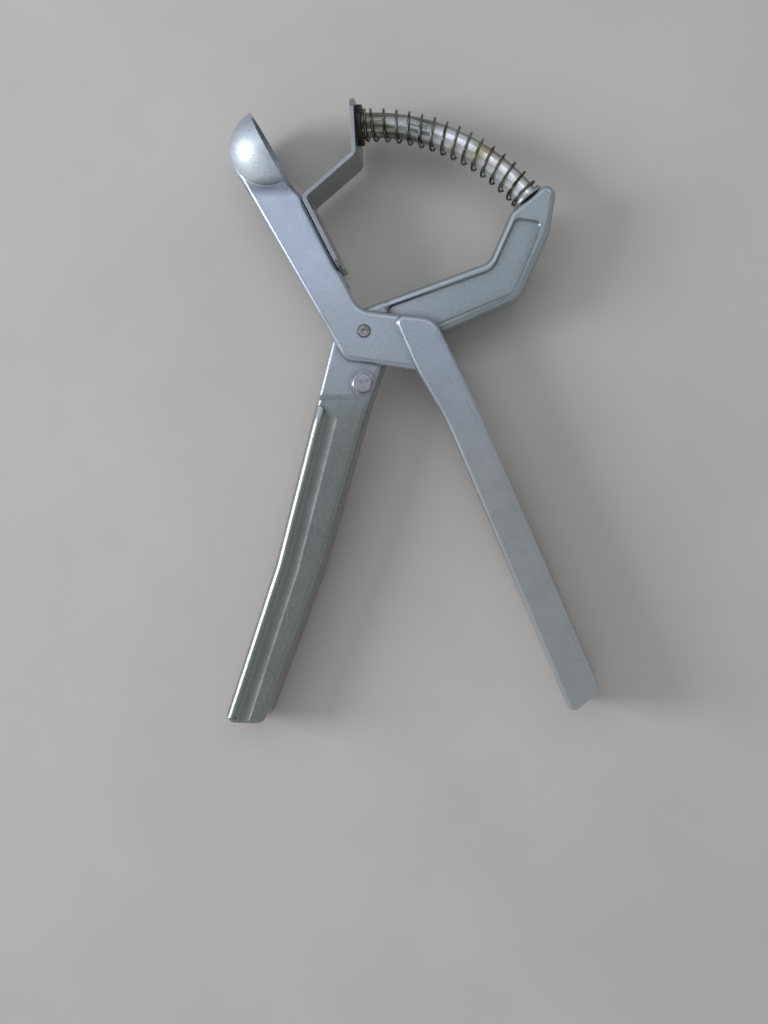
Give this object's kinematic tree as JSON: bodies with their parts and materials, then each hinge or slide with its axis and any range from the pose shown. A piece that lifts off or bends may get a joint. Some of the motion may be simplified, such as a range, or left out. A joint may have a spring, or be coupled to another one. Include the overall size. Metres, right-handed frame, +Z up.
{
  "type": "olive pitter",
  "caption": "Pliers-type hand olive pitter: two crossed sheet-steel levers, a bowl for the olive, and a bent plunger with a return spring that swings through a strap into the bowl.",
  "frame": {"origin": "the middle of the underside of the bounding box of the tool lying flat with its handles open", "axes": "+Z is up from the surface it lies on, with the screw's head on top; +Y runs along the tool from the handles' ends to the plunger; +X is to the plunger's side, so that from above it lies as in the picture"},
  "size_m": [0.1075, 0.1781, 0.0244],
  "materials": {
    "upper_lever": "semi-gloss silver-grey paint on pressed steel",
    "lower_lever": "semi-gloss silver-grey paint on pressed steel",
    "strap": "satin grey paint on steel",
    "plunger": "worn bright plating with a little tarnish",
    "spring": "drawn steel wire, slightly tarnished",
    "front_washer": "darkened steel",
    "hardware": "plated steel",
    "rivets": "plated steel",
    "screw": "zinc-plated steel"
  },
  "bodies": {
    "cup_side": {"cup_lever": "upper_lever", "stripper_bracket": "strap", "bracket_rivets": "rivets", "front_washer": "front_washer", "return_spring": "spring", "pivot_rivet": "rivets", "pivot_washer": "hardware", "back_washer": "hardware"},
    "plunger_side": {"plunger_lever": "lower_lever", "plunger_rod": "plunger", "rear_washer": "hardware", "stop_screw": "screw", "stop_washer": "hardware", "stop_nut": "hardware"}
  },
  "joints": [
    {"name": "pivot_hinge", "type": "hinge", "parent": "cup_side", "child": "plunger_side", "pos_m": [-0.0118, 0.0244, 0.0159], "axis": [0, 0, 1], "range_deg": [0, 31.5], "stiffness_Nm_per_rad": 2, "springref_deg": -5.73, "deforming": ["return_spring"]}
  ]
}
